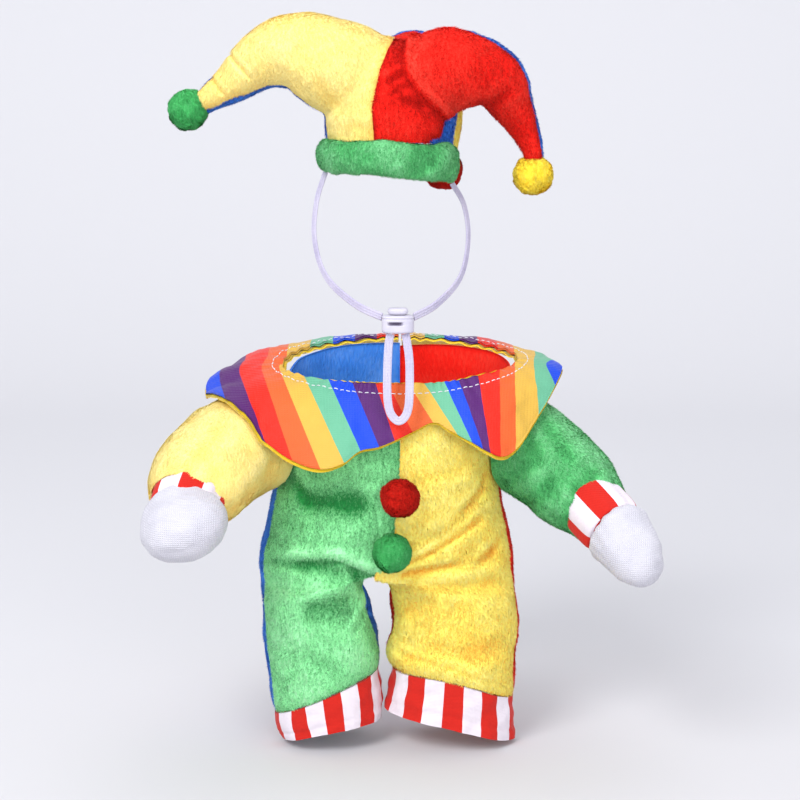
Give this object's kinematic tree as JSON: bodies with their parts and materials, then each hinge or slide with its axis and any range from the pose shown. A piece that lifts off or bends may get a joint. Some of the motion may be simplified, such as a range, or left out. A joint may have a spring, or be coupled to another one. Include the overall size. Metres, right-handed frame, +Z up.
{
  "type": "pet jester costume",
  "caption": "Plush jester suit for a small pet with trouser legs, stuffed false arms, striped collar and cuffs, and a horned hat with an elastic chin loop.",
  "frame": {"origin": "middle of the neck opening, where the wearer's neck carries the suit", "axes": "+Z up, -Y towards the front of the costume, +X towards the viewer's right of the front"},
  "size_m": [0.2507, 0.189, 0.3632],
  "materials": {
    "green_plush": "short plush pile",
    "yellow_plush": "short plush pile",
    "red_plush": "short plush pile",
    "blue_plush": "short plush pile",
    "hook_and_loop": "woven tape with loops",
    "striped_cotton": "plain weave with red stripes",
    "striped_satin": "printed satin with rainbow stripes",
    "yellow_satin": "satin",
    "white_tricot": "smooth fine knit",
    "red_pompom": "dense trimmed yarn",
    "green_pompom": "dense trimmed yarn",
    "yellow_pompom": "dense trimmed yarn",
    "white_elastic": "flat ribbed elastic",
    "white_plastic": "satin moulded"
  },
  "bodies": {
    "root": {"front_left": "green_plush", "front_right": "yellow_plush", "back_left": "blue_plush", "back_right": "red_plush", "back_closure": "hook_and_loop", "leg_cuff_left": "striped_cotton", "leg_cuff_right": "striped_cotton", "collar": "striped_satin", "collar_lining": "yellow_satin", "sleeve_left": "yellow_plush", "sleeve_right": "green_plush", "sleeve_cuff_left": "striped_cotton", "sleeve_cuff_right": "striped_cotton", "mitt_left": "white_tricot", "mitt_right": "white_tricot", "pompom_upper": "red_pompom", "pompom_lower": "green_pompom", "hat_front_left": "yellow_plush", "hat_front_right": "red_plush", "hat_back_left": "blue_plush", "hat_back_right": "blue_plush", "hat_back_horn": "yellow_plush", "hat_band": "green_plush", "hat_pompom_left": "green_pompom", "hat_pompom_right": "yellow_pompom", "hat_pompom_back": "red_pompom", "strap_left": "white_elastic", "strap_right": "white_elastic", "chin_loop": "white_elastic", "toggle_body": "white_plastic", "toggle_button": "white_plastic"}
  },
  "joints": []
}
